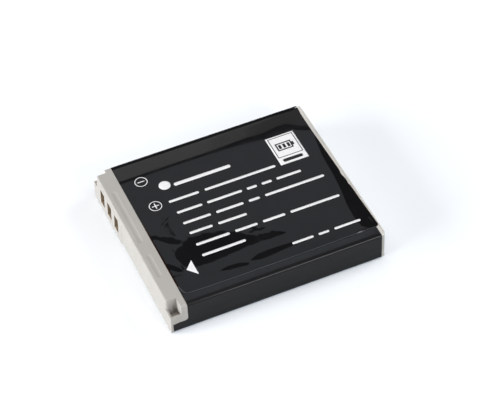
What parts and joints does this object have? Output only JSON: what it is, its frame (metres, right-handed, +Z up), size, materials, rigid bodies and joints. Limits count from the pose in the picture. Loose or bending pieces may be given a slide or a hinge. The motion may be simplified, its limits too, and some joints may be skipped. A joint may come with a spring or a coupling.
{
  "type": "camera battery",
  "caption": "Slim flat rechargeable battery pack: a sealed cell in a pale moulded frame under a black film wrap, with recessed contacts and keyed corners at one end.",
  "frame": {"origin": "middle of the underside, on the surface that the pack lies on", "axes": "+X from the terminal end to the base end, +Y to the far long side, +Z up from the underside to the printed face"},
  "size_m": [0.0404, 0.0354, 0.0059],
  "materials": {
    "pale_moulding": "fine moulded grain",
    "black_film": "glossy printed film",
    "white_print": "white ink on the film",
    "can_metal": "drawn",
    "gasket_plastic": "plain",
    "nickel": "rolled",
    "insulating_paper": "fibrous",
    "board": "solder mask",
    "gold_plate": "plated",
    "chip_moulding": "plain",
    "ceramic": "plain",
    "adhesive_foam": "plain"
  },
  "bodies": {
    "root": {"terminal_frame": "pale_moulding", "base_cap": "pale_moulding", "label_film": "black_film", "sealed_cell": "can_metal", "rivet_gasket": "gasket_plastic", "negative_rivet": "nickel", "fill_plug": "can_metal", "clad_plate": "nickel", "lid_insulator": "insulating_paper", "positive_strip": "nickel", "thermal_cutoff": "nickel", "negative_strip": "nickel", "circuit_board": "board", "contact_negative": "gold_plate", "contact_sense": "gold_plate", "contact_positive": "gold_plate", "switch_chip": "chip_moulding", "guard_chip": "chip_moulding", "thermistor": "ceramic", "chip_resistors": "chip_moulding", "chip_capacitors": "ceramic", "base_pad": "adhesive_foam"}
  },
  "joints": []
}
